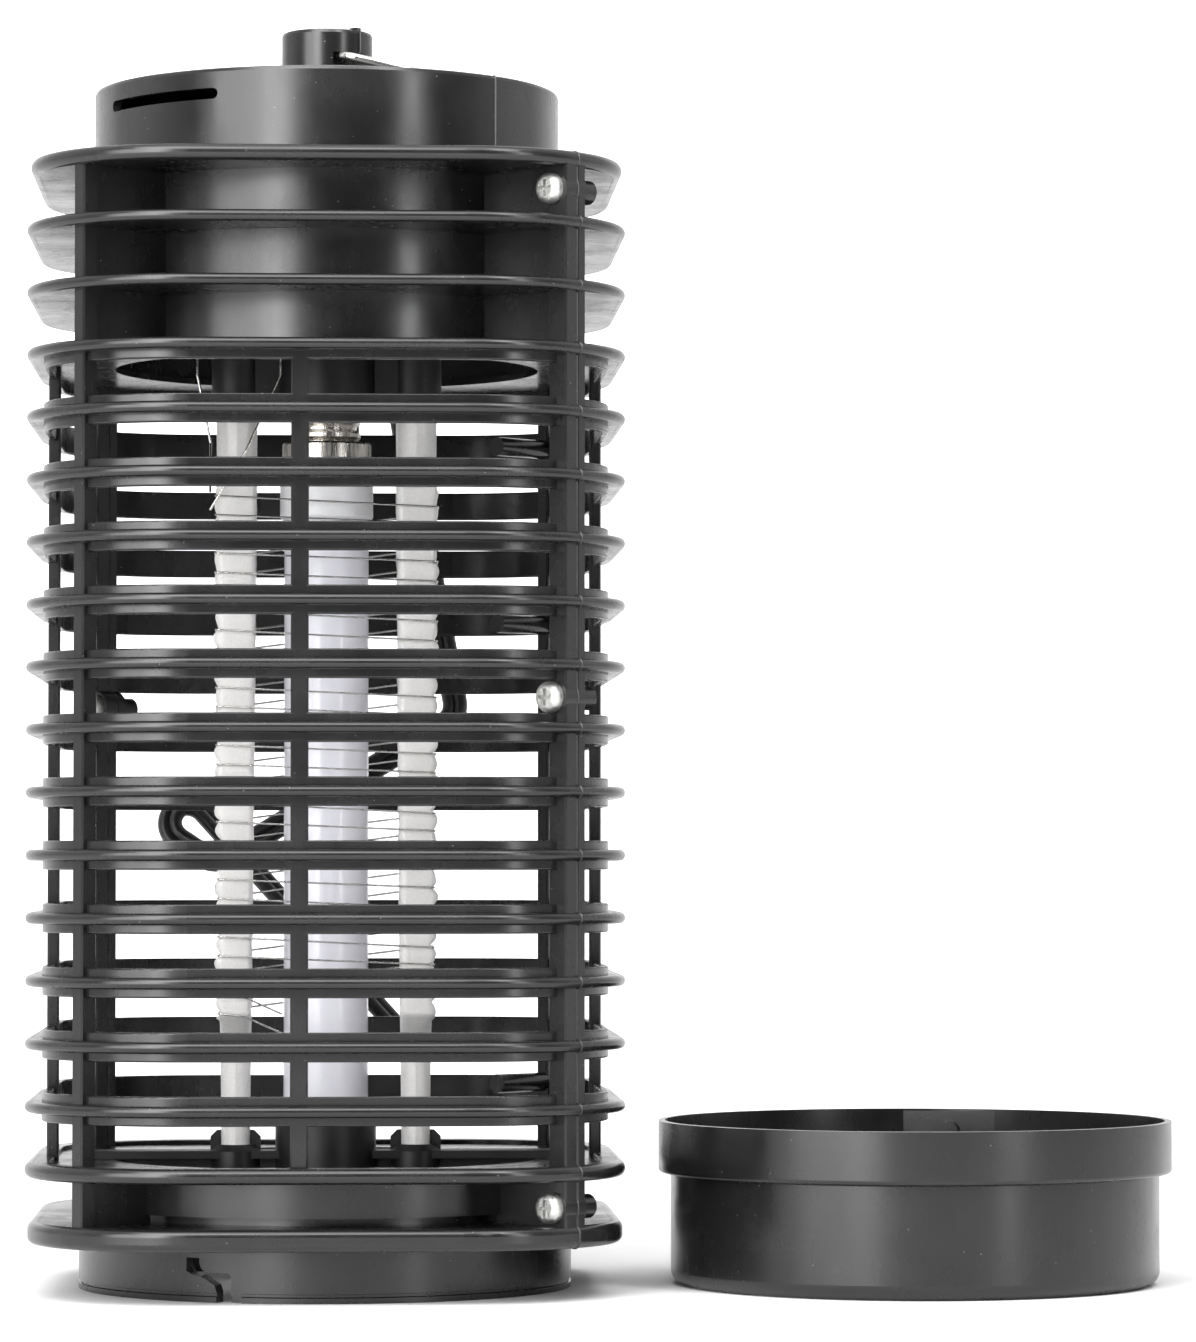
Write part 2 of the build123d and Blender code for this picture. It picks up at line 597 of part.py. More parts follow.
def grid_post(x):
    """Tapered insulating post, deep where the wires are wound so that they clear the lamp."""
    rod = turned([(0, POST_BOTTOM_Z), (POST_BOTTOM_RADIUS, POST_BOTTOM_Z), (POST_TOP_RADIUS, POST_TOP_Z),
                  (0, POST_TOP_Z)])
    top, bottom = WINDING_TOP + 2, WINDING_BOTTOM - 3
    face = make_face(Polyline([
        (-post_radius(bottom - 6), bottom - 6), (post_radius(bottom - 6), bottom - 6),
        (post_radius(top + 6), top + 6), (-post_radius(top + 6), top + 6),
    ], close=True))
    depth = WINDING_DEPTH
    side = make_face(Polyline([
        (-2, bottom - 6), (2, bottom - 6), (depth, bottom), (depth, top), (2, top + 6),
        (-2, top + 6), (-depth, top), (-depth, bottom),
    ], close=True))
    slab = extrude(Plane.XZ * face, depth + 1, both=True) & extrude(Plane.YZ * side, 10, both=True)
    return Pos(x, 0, 0) * (rod + slab)


def grid_wire(start):
    """One of the two interleaved wires, wound round both posts from a starting height down."""
    clearance = WIRE_RADIUS + 0.05
    depth = WINDING_DEPTH + clearance
    points = []
    height = start
    while height > WINDING_BOTTOM + TURN_PITCH:
        for side, face, drop in ((-1, -1, 0), (1, -1, FRONT_DROP), (1, 1, FRONT_DROP), (-1, 1, TURN_PITCH)):
            level = height - drop
            points.append((side * (GRID_POST_X + post_radius(level) + clearance), face * depth, level))
        height -= TURN_PITCH
    points.append((-GRID_POST_X - post_radius(height) - clearance, -depth, height))
    points.append((-GRID_POST_X + 9.0, -depth - 0.4, height - 4.0))
    path = Polyline(points)
    return sweep(Plane(origin=path @ 0, z_dir=path % 0) * Circle(WIRE_RADIUS), path=path,
                 transition=Transition.RIGHT)


def bent_wire(points, radius):
    """A thin wire along straight runs."""
    path = Polyline(points)
    section = Plane(origin=path @ 0, z_dir=path % 0) * Circle(radius)
    return sweep(section, path=path, transition=Transition.RIGHT)


def grid_leads():
    """Bare leads from the board down to the first turn of each grid wire."""
    board_bottom = BOARD_Z - 0.1
    outer = -GRID_POST_X - post_radius(WINDING_TOP) - 1.2
    live = bent_wire([
        (-GRID_POST_X - 8, -6, board_bottom), (-GRID_POST_X - 8, -6, 186), (outer, -6, 172),
        (outer, -WINDING_DEPTH, WINDING_TOP + 0.8),
    ], 0.25)
    returned = bent_wire([
        (-GRID_POST_X + 9, -9, board_bottom), (-GRID_POST_X + 9, -9, 186),
        (-GRID_POST_X + 2, -WINDING_DEPTH - 1.2, WINDING_TOP + 9),
        (outer, -WINDING_DEPTH - 1.2, WINDING_TOP - 3.0),
    ], 0.25)
    return Compound(children=[live, returned])


def round_edge(body, edge_radius, height, fillet_radius):
    """Rounds the circular edge of a given radius at a given height."""
    edges = [edge for edge in body.edges().filter_by(GeomType.CIRCLE)
             if abs(edge.radius - edge_radius) < 0.01 and abs(edge.center().Z - height) < 0.01]
    return fillet(edges, fillet_radius)


def lamp_holder():
    """Insulating body of the screw holder, hung in the upper carrier by its flange."""
    flange_bottom = CARRIER_SEAT_Z + CARRIER_THICKNESS + 0.03
    bottom, top = HOLDER_Z
    return turned([
        (HOLDER_BORE, bottom),
        (HOLDER_RADIUS, bottom),
        (HOLDER_RADIUS, flange_bottom),
        (HOLDER_RADIUS + 2.2, flange_bottom),
        (HOLDER_RADIUS + 2.2, flange_bottom + 1.4),
        (HOLDER_RADIUS, flange_bottom + 1.4),
        (HOLDER_RADIUS, top),
        (0, top),
        (0, top - 2.5),
        (HOLDER_BORE, top - 2.5),
    ])


def holder_shell():
    return tube(HOLDER_BORE - 0.05, SHELL_BORE, HOLDER_Z[0] + 1.5, HOLDER_Z[1] - 5.0)


def holder_contact():
    """Spring leaf above the lamp's contact, with its tail up to the roof of the holder."""
    leaf = block((-4.5, 4.5), (-1.6, 1.6), (LAMP_TIP_Z + 0.1, LAMP_TIP_Z + 0.6))
    tail = block((4.0, 4.5), (-1.6, 1.6), (LAMP_TIP_Z + 0.1, HOLDER_Z[1] - 2.55))
    return leaf + tail


def lamp_cap():
    """Threaded metal cap. Its thread is drawn as rings, so that the lamp turns freely in its holder."""
    outline = [(THREAD_MINOR - 0.5, SKIRT_TOP), (THREAD_MINOR, SKIRT_TOP)]
    crest = SKIRT_TOP + THREAD_PITCH / 2
    while crest < THREAD_TOP - THREAD_PITCH:
        for radius, shift in ((THREAD_MINOR, -0.42), (THREAD_MAJOR, -0.14), (THREAD_MAJOR, 0.14),
                              (THREAD_MINOR, 0.42)):
            outline.append((radius, crest + shift * THREAD_PITCH))
        crest += THREAD_PITCH
    outline += [(THREAD_MINOR, THREAD_TOP - 0.8), (THREAD_MINOR - 1.2, THREAD_TOP),
                (THREAD_MINOR - 1.8, THREAD_TOP), (THREAD_MINOR - 0.5, THREAD_TOP - 1.0)]
    return turned(outline)


def lamp_insulator():
    return turned([(0, THREAD_TOP - 1.0), (THREAD_MINOR - 2.0, THREAD_TOP + 0.02), (3.0, LAMP_TIP_Z - 1.4),
                   (0, LAMP_TIP_Z - 1.4)])


def lamp_contact():
    return round_edge(tube(2.4, 0, LAMP_TIP_Z - 1.38, LAMP_TIP_Z), 2.4, LAMP_TIP_Z, 0.8)


def lamp_skirt():
    """Plain metal ring between the threaded cap and the sleeve."""
    bottom = SLEEVE_Z[1] + 0.02
    wall = 0.6
    return turned([
        (SKIRT_RADIUS - wall, bottom),
        (SKIRT_RADIUS, bottom),
        (SKIRT_RADIUS, SKIRT_TOP - 0.5),
        (SKIRT_RADIUS - 0.4, SKIRT_TOP - 0.05),
        (THREAD_MINOR - 0.5, SKIRT_TOP - 0.05),
        (THREAD_MINOR - 0.5, SKIRT_TOP - wall),
        (SKIRT_RADIUS - wall, SKIRT_TOP - wall),
    ])


def lamp_sleeve():
    """Plastic sleeve that holds the end of the glass tube."""
    bottom, top = SLEEVE_Z
    sleeve = tube(SLEEVE_RADIUS, TUBE_RADIUS + 0.05, bottom, top)
    return round_edge(sleeve, SLEEVE_RADIUS, bottom, 0.7)


def lamp_tube():
    """Glass tube, closed and domed at its lower end."""
    top = SLEEVE_Z[0] + 6.0
    glass = tube(TUBE_RADIUS, 0, TUBE_BOTTOM, top)
    glass = round_edge(glass, TUBE_RADIUS, TUBE_BOTTOM, 5.0)
    bore = TUBE_RADIUS - GLASS_WALL
    bore_bottom = TUBE_BOTTOM + GLASS_WALL
    return glass - round_edge(tube(bore, 0, bore_bottom, top + 1), bore, bore_bottom, 4.0)


def lamp_ballast():
    """Small round board with a choke, inside the lamp's sleeve."""
    bottom = SLEEVE_Z[0] + 7.0
    disc = tube(TUBE_RADIUS - 0.8, 0, bottom, bottom + 1.0)
    choke = tube(3.4, 0, bottom + 0.9, SKIRT_TOP - 2.0)
    return disc + choke


def circuit_board():
    length, width = BOARD_SIZE
    board = block((-length / 2, length / 2), (-width / 2, width / 2), (BOARD_Z, BOARD_Z + BOARD_THICKNESS))
    return board - [Pos(x, 0, 0) * tube(1.3, 0, 200, 210) for x in (-BOARD_SCREW_X, BOARD_SCREW_X)]


def film_capacitors():
    """Five capacitors of the voltage multiplier."""
    top = BOARD_Z + BOARD_THICKNESS + 0.02
    body = block((-3.5, 3.5), (-7, 7), (top, top + 10))
    body = fillet(body.edges().filter_by(Axis.Z) + body.edges().group_by(Axis.Z)[-1], 1.0)
    return Compound(children=[Pos(10 * place, 10, 0) * body for place in range(-2, 3)])


def round_parts(places, start, end, radius):
    """Axial parts lying on the board, one at each place."""
    height = BOARD_Z + BOARD_THICKNESS + radius + 0.05
    return Compound(children=[
        rod_between((x + start[0], y + start[1], height), (x + end[0], y + end[1], height), radius)
        for x, y in places
    ])


def diodes():
    return round_parts([(8 * place - 20, -5) for place in range(6)], (0, -2.6), (0, 2.6), 1.35)


def resistors():
    return round_parts([(14 * place, -14) for place in (-1, 0, 1)], (-3.25, 0), (3.25, 0), 1.2)


def board_screws():
    screw = pan_screw(2.4, 1.6, 1.15, 7.5)
    height = BOARD_Z + BOARD_THICKNESS + 0.02
    return Compound(children=[Pos(x, 0, height) * screw for x in (-BOARD_SCREW_X, BOARD_SCREW_X)])


def supply_leads():
    """Two cores from the mains lead to the board."""
    board_top = BOARD_Z + BOARD_THICKNESS + 0.05
    return Compound(children=[
        bent_wire([
            (GROMMET_X + side * CORD_CORE_OFFSET, 42.7, CORD_Z),
            (GROMMET_X + side * CORD_CORE_OFFSET, 38, CORD_Z),
            (GROMMET_X + side * 3, 28, 212), (GROMMET_X + side * 3, 19.5, 212),
            (GROMMET_X + side * 3, 19.5, board_top),
        ], 0.6) for side in (-1, 1)
    ])


def lamp_leads():
    """Two cores from the board down to the lamp holder."""
    bottom, top = HOLDER_Z[1] + 0.05, BOARD_Z - 0.05
    return Compound(children=[
        rod_between((side * 5, 0, bottom), (side * 5, 0, top), 0.6) for side in (-1, 1)
    ])


def cord_grommet():
    """Soft ring that grips the wall of the drum round the lead."""
    wall_outer, wall_inner = DRUM_RADIUS + 0.1, DRUM_RADIUS - SHELL_WALL - 0.9
    neck = GROMMET_NECK - 0.05
    bore = CORD_CORE_RADIUS + CORD_CORE_OFFSET + 0.1
    reach = math.sqrt(DRUM_RADIUS ** 2 - GROMMET_X ** 2)
    outer_face = reach + 0.55 * GROMMET_FLANGE
    inner_face = reach - SHELL_WALL - 0.6 * GROMMET_FLANGE
    flanges = rod_between((GROMMET_X, inner_face, CORD_Z), (GROMMET_X, outer_face, CORD_Z), GROMMET_FLANGE)
    wall = tube(wall_outer, wall_inner, CORD_Z - 10, CORD_Z + 10)
    middle = rod_between((GROMMET_X, inner_face, CORD_Z), (GROMMET_X, outer_face, CORD_Z), neck)
    hole = rod_between((GROMMET_X, inner_face - 1, CORD_Z), (GROMMET_X, outer_face + 1, CORD_Z), bore)
    return flanges - wall + middle - hole


def cord_section():
    """Flat twin lead with a groove between its cores."""
    cores = [Pos(side * CORD_CORE_OFFSET, 0) * Circle(CORD_CORE_RADIUS) for side in (-1, 1)]
    return cores[0] + cores[1]


def power_cord():
    """Lead from the grommet down behind the cage, with one slack loop, to the plug on the floor."""
    plug_y, floor_z = PLUG_CENTRE_Y, PLUG_AXIS_Z
    path = FilletPolyline([
        (GROMMET_X, 43.0, CORD_Z), (GROMMET_X, 68.0, CORD_Z), (19.5, 69.0, 165.0), (28.5, 68.0, 118.0),
        (-24.0, 66.5, 86.0), (-39.0, 70.0, 96.0), (-29.0, 73.0, 99.5), (19.5, 72.0, 46.0),
        (21.0, 72.0, 8.0), (36.0, 81.0, floor_z), (34.0, plug_y, floor_z),
        (PLUG_REAR_X + 0.3, plug_y, floor_z),
    ], radius=CORD_BEND)
    start = Plane(origin=path @ 0, x_dir=(1, 0, 0), z_dir=path % 0)
    return sweep(start * cord_section(), path=path)


def plug_body():
    """Flat two-pin plug, lying on the floor with its pins to the left."""
    half_width, half_height = PLUG_WIDTH / 2, PLUG_AXIS_Z - 0.05
    front, rear = PLUG_FRONT_X, PLUG_REAR_X
    outline = make_face(Polyline([
        (front, -half_width), (front + 17, -half_width), (rear - 4, -5), (rear, -5),
        (rear, 5), (rear - 4, 5), (front + 17, half_width), (front, half_width),
    ], close=True))
    outline = fillet(outline.vertices(), 1.8)
    body = extrude(outline, half_height, both=True)
    caps = body.edges().group_by(Axis.Z)
    body = Pos(0, PLUG_CENTRE_Y, PLUG_AXIS_Z) * chamfer(caps[0] + caps[-1], 1.5)
    root_end = front + PIN_ROOT_LENGTH + 0.05
    for y in pin_places():
        body -= rod_between((front - 1, y, PLUG_AXIS_Z), (root_end, y, PLUG_AXIS_Z), PIN_ROOT_RADIUS + 0.03)
    return body


def pin_places():
    return [PLUG_CENTRE_Y - PIN_SPACING / 2, PLUG_CENTRE_Y + PIN_SPACING / 2]


def plug_pins():
    """Two round pins with rounded tips. A thinner root sits in the plug's body."""
    tip = PIN_ROOT_LENGTH + PIN_LENGTH
    shoulder = PIN_ROOT_LENGTH + PIN_NECK
    pin = round_edge(tube(PIN_RADIUS, 0, shoulder, tip), PIN_RADIUS, tip, 1.2)
    pin += tube(PIN_ROOT_RADIUS, 0, 0, shoulder + 0.1)
    return Compound(children=[
        Pos(PLUG_FRONT_X + PIN_ROOT_LENGTH, y, PLUG_AXIS_Z) * Rot(0, -90, 0) * pin for y in pin_places()
    ])


def tray():
    """Collection tray. Two knobs inside its collar run in the tracks of the base ring."""
    shoulder = TRAY_HEIGHT - TRAY_COLLAR_HEIGHT
    bore = TRAY_RADIUS - TRAY_WALL
    body = turned([
        (0, 0),
        (TRAY_RADIUS, 0),
        (TRAY_RADIUS, shoulder - 0.4),
        (TRAY_COLLAR_RADIUS, shoulder),
        (TRAY_COLLAR_RADIUS, TRAY_HEIGHT),
        (TRAY_COLLAR_BORE, TRAY_HEIGHT),
        (TRAY_COLLAR_BORE, shoulder + 0.8),
        (bore, shoulder + 0.8),
        (bore, TRAY_FLOOR),
        (0, TRAY_FLOOR),
    ])
    body = round_edge(body, TRAY_RADIUS, 0, 3.0)
    body = round_edge(body, bore, TRAY_FLOOR, 1.5)
    body = round_edge(body, TRAY_COLLAR_RADIUS, shoulder, 0.9)
    collar = tube(TRAY_COLLAR_BORE + 0.1, 0, shoulder + 0.7, TRAY_HEIGHT - 0.4)
    pad = collar & block((TRAY_PAD_FACE, TRAY_COLLAR_RADIUS), (-20, 20), (0, TRAY_HEIGHT))
    knob_z = TRAY_HEIGHT - TRAY_KNOB_DEPTH
    knob = rod_between((TRAY_KNOB_REACH, 0, knob_z), (TRAY_COLLAR_BORE + 0.5, 0, knob_z), TRAY_KNOB_RADIUS)
    for angle in (TRAY_KNOB_ANGLE, TRAY_KNOB_ANGLE + 180):
        body += Rot(0, 0, angle) * knob
        body += Rot(0, 0, angle) * pad
    return Pos(TRAY_X, 0, 0) * body


def build_nodes():
    """Every separate piece of the zapper, by name."""
    shared = common_half()
    return {
        "cage_front_half": front_half(shared),
        "cage_rear_half": rear_half(shared),
        "case_screws": case_screws(),
        "base_ring": base_ring(),
        "hanger_ring": hanger_ring(),
        "upper_carrier": upper_carrier(),
        "lower_carrier": lower_carrier(),
        "grid_post_left": grid_post(-GRID_POST_X),
        "grid_post_right": grid_post(GRID_POST_X),
        "grid_wire_live": grid_wire(WINDING_TOP),
        "grid_wire_return": grid_wire(WINDING_TOP - TURN_PITCH / 2),
        "grid_leads": grid_leads(),
        "lamp_holder": lamp_holder(),
        "holder_shell": holder_shell(),
        "holder_contact": holder_contact(),
        "lamp_cap": lamp_cap(),
        "lamp_insulator": lamp_insulator(),
        "lamp_contact": lamp_contact(),
        "lamp_skirt": lamp_skirt(),
        "lamp_sleeve": lamp_sleeve(),
        "lamp_tube": lamp_tube(),
        "lamp_ballast": lamp_ballast(),
        "circuit_board": circuit_board(),
        "film_capacitors": film_capacitors(),
        "diodes": diodes(),
        "resistors": resistors(),
        "board_screws": board_screws(),
        "supply_leads": supply_leads(),
        "lamp_leads": lamp_leads(),
        "cord_grommet": cord_grommet(),
        "power_cord": power_cord(),
        "plug_body": plug_body(),
        "plug_pins": plug_pins(),
        "tray": tray(),
    }


os.makedirs("parts", exist_ok=True)
for node_name, shape in build_nodes().items():
    export_step(shape, f"parts/{node_name}.step")
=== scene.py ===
"""Looks of the electric bug zapper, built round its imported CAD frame. Metres, +Z up, -Y the front."""
import json
import math
import random

import bmesh
import bpy
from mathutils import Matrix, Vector, noise


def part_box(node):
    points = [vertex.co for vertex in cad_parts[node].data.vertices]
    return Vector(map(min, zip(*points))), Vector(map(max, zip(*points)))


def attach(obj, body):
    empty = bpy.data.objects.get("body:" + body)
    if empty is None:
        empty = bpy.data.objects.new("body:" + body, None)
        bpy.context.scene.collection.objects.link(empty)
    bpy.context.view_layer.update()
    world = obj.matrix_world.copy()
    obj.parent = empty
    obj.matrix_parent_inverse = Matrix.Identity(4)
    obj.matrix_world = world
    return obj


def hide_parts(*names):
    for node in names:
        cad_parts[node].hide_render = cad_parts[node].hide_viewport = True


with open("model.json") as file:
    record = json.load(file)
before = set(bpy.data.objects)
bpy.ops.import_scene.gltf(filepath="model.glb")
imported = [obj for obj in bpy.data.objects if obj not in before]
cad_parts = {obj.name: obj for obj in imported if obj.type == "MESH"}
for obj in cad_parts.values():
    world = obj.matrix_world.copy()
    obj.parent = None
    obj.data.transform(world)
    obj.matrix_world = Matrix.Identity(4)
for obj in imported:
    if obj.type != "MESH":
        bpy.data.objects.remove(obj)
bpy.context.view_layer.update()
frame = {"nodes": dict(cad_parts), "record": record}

MM = 0.001


# ---------------------------------------------------------------- shader helpers

# Nearly all of a noise texture's values lie in this range
NOISE_LOW, NOISE_HIGH = 0.3, 0.7


class Shader:
    """A material built node by node, with its coordinates in metres of the object's own frame."""

    def __init__(self, name):
        self.material = bpy.data.materials.new(name)
        self.material.use_nodes = True
        self.tree = self.material.node_tree
        self.surface = self.tree.nodes["Principled BSDF"]
        self.coordinates = self.node("ShaderNodeTexCoord").outputs["Object"]

    def node(self, kind, **settings):
        """Adds a node of a kind, with its settings."""
        made = self.tree.nodes.new(kind)
        for key, value in settings.items():
            setattr(made, key, value)
        return made

    def link(self, source, target):
        self.tree.links.new(source, target)

    def fill(self, socket, value):
        """Links a socket into an input, or sets the input's value."""
        if isinstance(value, bpy.types.NodeSocket):
            self.link(value, socket)
        else:
            socket.default_value = value

    def put(self, name, value):
        """Fills one input of the surface."""
        self.fill(self.surface.inputs[name], value)

    def stretched(self, scale):
        """Coordinates scaled differently along each axis."""
        mapping = self.node("ShaderNodeMapping")
        mapping.inputs["Scale"].default_value = scale
        self.link(self.coordinates, mapping.inputs["Vector"])
        return mapping.outputs["Vector"]

    def noise(self, scale, detail=3.0, roughness=0.55, stretch=(1, 1, 1)):
        """Cloudy values from 0 to 1, with scale clouds to the metre."""
        texture = self.node("ShaderNodeTexNoise")
        texture.inputs["Scale"].default_value = scale
        texture.inputs["Detail"].default_value = detail
        texture.inputs["Roughness"].default_value = roughness
        self.link(self.stretched(stretch), texture.inputs["Vector"])
        return texture.outputs["Fac"]

    def specks(self, scale, size):
        """Sparse small dots: one where the distance to a cell's centre is under size."""
        cells = self.node("ShaderNodeTexVoronoi")
        cells.inputs["Scale"].default_value = scale
        self.link(self.coordinates, cells.inputs["Vector"])
        return self.remap(cells.outputs["Distance"], size, size * 0.6, 0.0, 1.0)

    def remap(self, value, low, high, to_low, to_high):
        """Carries the range low to high over to another range."""
        spread = self.node("ShaderNodeMapRange")
        for name, number in (("From Min", low), ("From Max", high), ("To Min", to_low), ("To Max", to_high)):
            spread.inputs[name].default_value = number
        self.link(value, spread.inputs["Value"])
        return spread.outputs["Result"]

    def uneven(self, cloudy, low, high):
        """A noise carried over to the range low to high."""
        return self.remap(cloudy, NOISE_LOW, NOISE_HIGH, low, high)

    def math(self, operation, first, second):
        """One arithmetic step on two values or sockets."""
        made = self.node("ShaderNodeMath", operation=operation)
        self.fill(made.inputs[0], first)
        self.fill(made.inputs[1], second)
        return made.outputs["Value"]

    def mix(self, factor, first, second):
        """Colour between two colours or colour sockets."""
        blend = self.node("ShaderNodeMix", data_type="RGBA")
        self.fill(blend.inputs[0], factor)
        for socket, colour in ((blend.inputs[6], first), (blend.inputs[7], second)):
            self.fill(socket, (*colour, 1.0) if isinstance(colour, tuple) else colour)
        return blend.outputs[2]

    def bump(self, *layers):
        """Stacks bump layers of (height, strength, distance in metres)."""
        normal = None
        for height, strength, distance in layers:
            made = self.node("ShaderNodeBump")
            made.inputs["Strength"].default_value = strength
            made.inputs["Distance"].default_value = distance
            self.link(height, made.inputs["Height"])
            if normal is not None:
                self.link(normal, made.inputs["Normal"])
            normal = made.outputs["Normal"]
        self.put("Normal", normal)


# ---------------------------------------------------------------- materials

DUST_COLOUR = (0.4, 0.39, 0.38)
WORN_COLOUR = (0.05, 0.048, 0.048)


def black_plastic(name, tone=0.009, roughness=(0.2, 0.3), flow=(1.0, 1.0, 0.12), dusty=1.0):
    """Moulded black plastic: faint clouds and flow streaks, fine grain, a little white dust."""
    s = Shader(name)
    clouds = s.noise(70.0, detail=5.0)
    streaks = s.noise(420.0, detail=4.0, stretch=flow)
    grain = s.noise(5200.0, detail=2.0)
    dust = s.specks(330.0, 0.045)
    worn = s.remap(s.noise(1500.0, detail=4.0, roughness=0.7), 0.64, 0.76, 0.0, 0.16 * dusty)
    dark = tuple(tone * share for share in (0.8, 0.77, 0.79))
    light = tuple(tone * share for share in (1.3, 1.27, 1.29))
    colour = s.mix(clouds, dark, light)
    colour = s.mix(worn, colour, WORN_COLOUR)
    colour = s.mix(s.math("MULTIPLY", dust, 0.4 * dusty), colour, DUST_COLOUR)
    s.put("Base Color", colour)
    s.put("Roughness", s.math("ADD", s.uneven(clouds, *roughness), s.uneven(streaks, -0.015, 0.025)))
    s.put("Specular IOR Level", 0.5)
    s.bump((clouds, 0.05, 0.0003), (streaks, 0.04, 0.0001), (grain, 0.05, 0.00004))
    return s.material


def metal(name, colour, roughness, grain=2600.0, stretch=(1, 1, 1), relief=0.0001):
    """Bare metal with a directional grain and uneven gloss."""
    s = Shader(name)
    stain = s.noise(240.0, detail=5.0)
    lines = s.noise(grain, detail=3.0, stretch=stretch)
    darker = tuple(channel * 0.72 for channel in colour)
    s.put("Base Color", s.mix(stain, darker, colour))
    s.put("Metallic", 1.0)
    s.put("Roughness", s.uneven(lines, roughness * 0.75, roughness * 1.35))
    s.bump((lines, 0.3, relief))
    return s.material


def pale_plastic(name, colour, roughness, scatter, scatter_depth, relief=0.00015, mottle=180.0):
    """Translucent pale plastic or opal glass, a little uneven in tone."""
    s = Shader(name)
    mottling = s.noise(mottle, detail=5.0)
    fine = s.noise(2600.0, detail=3.0)
    shaded = tuple(channel * 0.86 for channel in colour)
    s.put("Base Color", s.mix(mottling, shaded, colour))
    s.put("Roughness", s.uneven(fine, roughness * 0.8, roughness * 1.25))
    s.put("Subsurface Weight", scatter)
    s.put("Subsurface Radius", (1.0, 0.95, 0.9))
    s.put("Subsurface Scale", scatter_depth)
    s.bump((mottling, 0.3, relief), (fine, 0.12, relief * 0.3))
    return s.material


def coloured_part(name, colour, roughness):
    """Small electronic part with a mottled lacquer."""
    s = Shader(name)
    mottling = s.noise(900.0, detail=4.0)
    s.put("Base Color", s.mix(mottling, tuple(channel * 0.7 for channel in colour), colour))
    s.put("Roughness", s.uneven(mottling, roughness * 0.8, roughness * 1.3))
    s.bump((mottling, 0.25, 0.0002))
    return s.material


MATERIALS = {
    "housing": black_plastic("housing"),
    # Painted shade: the inner parts get a darker base tone than the housing, so the carrier and the drum's
    # inside look as black as the unlit depth of the cage.
    "inner_plastic": black_plastic("inner_plastic", tone=0.005, roughness=(0.38, 0.5)),
    "tray": black_plastic("tray", tone=0.008),
    "plug": black_plastic("plug", tone=0.012, roughness=(0.35, 0.5)),
    "cord": black_plastic("cord", tone=0.008, roughness=(0.3, 0.42), flow=(1, 1, 1)),
    "lead_sleeve": black_plastic("lead_sleeve", tone=0.012, roughness=(0.4, 0.55)),
    "screws": metal("screws", (0.7, 0.7, 0.68), 0.46, grain=1300.0, relief=0.0007),
    "steel_wire": metal("steel_wire", (0.82, 0.82, 0.8), 0.2),
    "grid_wire": metal("grid_wire", (0.78, 0.77, 0.75), 0.2),
    "lamp_metal": metal("lamp_metal", (0.7, 0.67, 0.63), 0.24, grain=1900.0, stretch=(1, 1, 0.03),
                        relief=0.0003),
    "brass": metal("brass", (0.8, 0.58, 0.26), 0.26),
    "plug_metal": metal("plug_metal", (0.78, 0.76, 0.72), 0.2),
    "post_plastic": pale_plastic("post_plastic", (0.8, 0.79, 0.78), 0.28, 0.35, 0.003, relief=0.0004),
    "lamp_plastic": pale_plastic("lamp_plastic", (0.86, 0.86, 0.88), 0.3, 0.2, 0.002, relief=0.00005),
    "lamp_glass": pale_plastic("lamp_glass", (0.86, 0.85, 0.92), 0.16, 0.3, 0.004, relief=0.00002,
                               mottle=60.0),
    "lamp_insulator": coloured_part("lamp_insulator", (0.03, 0.03, 0.035), 0.15),
    "board": coloured_part("board", (0.34, 0.23, 0.1), 0.5),
    "capacitor": coloured_part("capacitor", (0.45, 0.08, 0.04), 0.25),
    "diode": coloured_part("diode", (0.03, 0.03, 0.032), 0.35),
    "resistor": coloured_part("resistor", (0.62, 0.5, 0.33), 0.4),
}


def dress_frame():
    """Gives every CAD node the finish of its material slot."""
    for entry in frame["record"]["subparts"]:
        node = frame["nodes"][entry["node"]]
        node.data.materials.clear()
        node.data.materials.append(MATERIALS[entry["material_slot"]])


# ---------------------------------------------------------------- mesh helpers

# Steps of the curve at a path's corner, and the most of a side that it takes
CURVE_STEPS = 4
CURVE_SHARE = 0.45


def add_piece(name, vertices, faces, slot, replaced=(), crease=40.0, look=None):
    """A new mesh that rides on the housing and stands for the CAD nodes in replaced.

    It takes its slot's material unless look gives another. Edges sharper than crease degrees stay sharp.
    """
    mesh = bpy.data.meshes.new(name)
    mesh.from_pydata([tuple(vertex) for vertex in vertices], [], faces)
    mesh.validate()
    edited = bmesh.new()
    edited.from_mesh(mesh)
    bmesh.ops.recalc_face_normals(edited, faces=edited.faces)
    for face in edited.faces:
        face.smooth = True
    for edge in edited.edges:
        edge.smooth = edge.calc_face_angle(0.0) < math.radians(crease)
    edited.to_mesh(mesh)
    edited.free()
    mesh.materials.append(look or MATERIALS[slot])
    piece = bpy.data.objects.new(name, mesh)
    bpy.context.scene.collection.objects.link(piece)
    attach(piece, "housing")
    if replaced:
        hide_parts(*replaced)


def skin(rings, offset=0):
    """Faces between equal rings of vertices, with caps on both ends. offset is the first vertex's number."""
    count = len(rings[0])
    faces = []
    for index in range(len(rings) - 1):
        low, high = offset + index * count, offset + (index + 1) * count
        for step in range(count):
            following = (step + 1) % count
            faces.append((low + step, low + following, high + following, high + step))
    last = offset + (len(rings) - 1) * count
    faces.append(tuple(offset + step for step in reversed(range(count))))
    faces.append(tuple(last + step for step in range(count)))
    return faces


def carried_frames(points):
    """A frame at each point of a path, turned as little as possible from one point to the next."""
    tangents = []
    for index, point in enumerate(points):
        before, after = points[max(index - 1, 0)], points[min(index + 1, len(points) - 1)]
        tangents.append((after - before).normalized())
    side = tangents[0].orthogonal().normalized()
    frames = []
    for tangent in tangents:
        side = (side - tangent * side.dot(tangent)).normalized()
        frames.append((side, tangent.cross(side)))
    return frames


